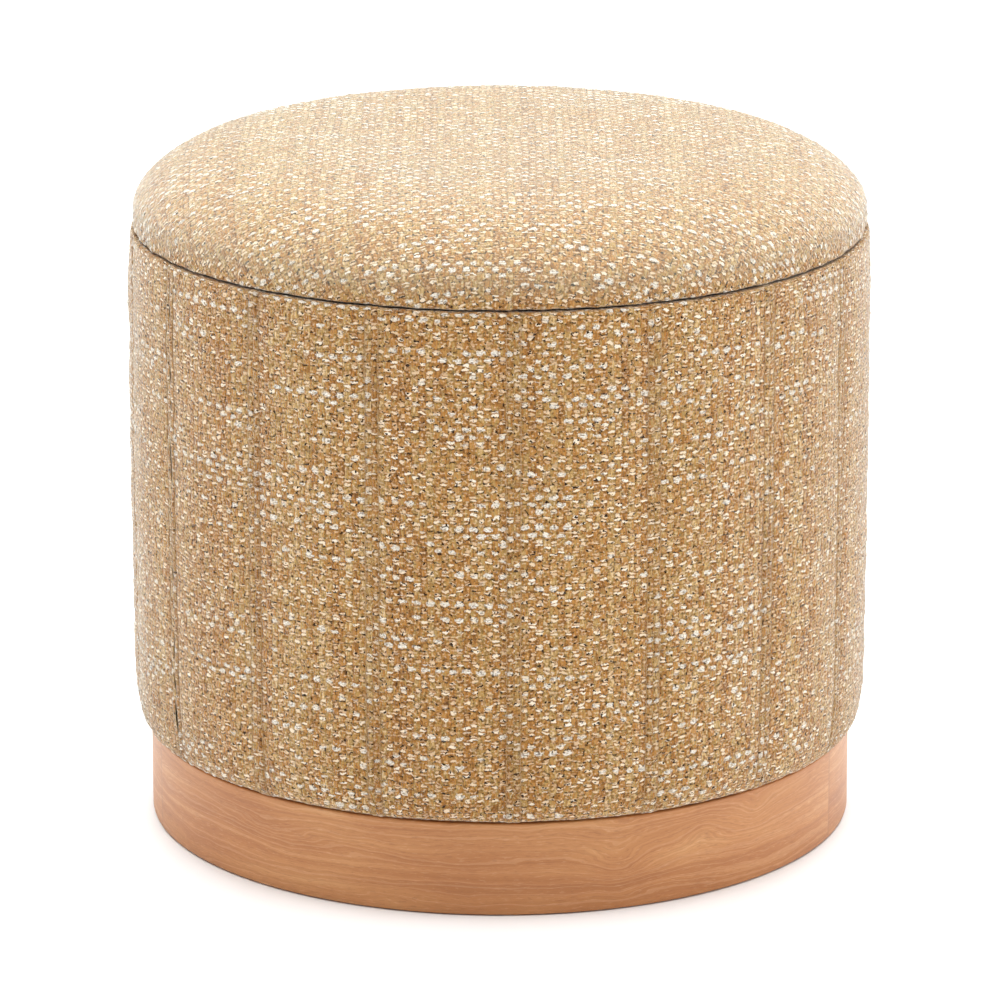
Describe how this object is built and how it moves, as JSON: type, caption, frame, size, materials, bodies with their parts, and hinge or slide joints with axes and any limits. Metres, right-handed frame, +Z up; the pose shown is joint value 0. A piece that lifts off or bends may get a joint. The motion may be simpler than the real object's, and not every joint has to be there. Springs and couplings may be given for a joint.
{
  "type": "round storage ottoman",
  "caption": "Round padded storage ottoman: a channelled fabric drum on a veneered wood plinth, with a lift-off domed lid over an open bin.",
  "frame": {"origin": "centre of the underside, on the floor", "axes": "+Z up along the axis of the drum, -Y towards the front, +X to the right of the front"},
  "size_m": [0.45, 0.45, 0.4176],
  "materials": {
    "cover_cloth": "coarse plain weave in tan, cream and brown",
    "foam": "open cell foam",
    "veneer": "satin lacquered veneer, light reddish tan",
    "plywood": "raw plywood",
    "pine": "raw softwood",
    "lining": "plain lining cloth",
    "dust_cloth": "black non-woven",
    "felt": "pressed felt",
    "steel": "zinc plated"
  },
  "bodies": {
    "base": {"bottom_board": "plywood", "drum_shell": "plywood", "dust_cover": "dust_cloth", "felt_glide_1": "felt", "felt_glide_2": "felt", "felt_glide_3": "felt", "felt_glide_4": "felt", "felt_glide_5": "felt", "felt_glide_6": "felt", "floor_lining": "lining", "plinth_block_1": "pine", "plinth_block_2": "pine", "plinth_block_3": "pine", "plinth_block_4": "pine", "plinth_block_5": "pine", "plinth_block_6": "pine", "plinth_ring": "veneer", "plinth_screw_1": "steel", "plinth_screw_2": "steel", "plinth_screw_3": "steel", "plinth_screw_4": "steel", "plinth_screw_5": "steel", "plinth_screw_6": "steel", "side_cover": "cover_cloth", "side_foam": "foam", "side_lining": "lining", "top_ring": "plywood"},
    "lid": {"lid_board": "plywood", "lid_cover": "cover_cloth", "lid_foam": "foam", "lid_lining": "lining", "lid_locating_ring": "plywood", "lid_screw_1": "steel", "lid_screw_2": "steel", "lid_screw_3": "steel", "lid_screw_4": "steel", "lid_screw_5": "steel", "lid_screw_6": "steel"}
  },
  "joints": [
    {"name": "lid_lift", "type": "slide", "parent": "base", "child": "lid", "axis": [0, 0, 1], "range_m": [0, 0.2]}
  ]
}
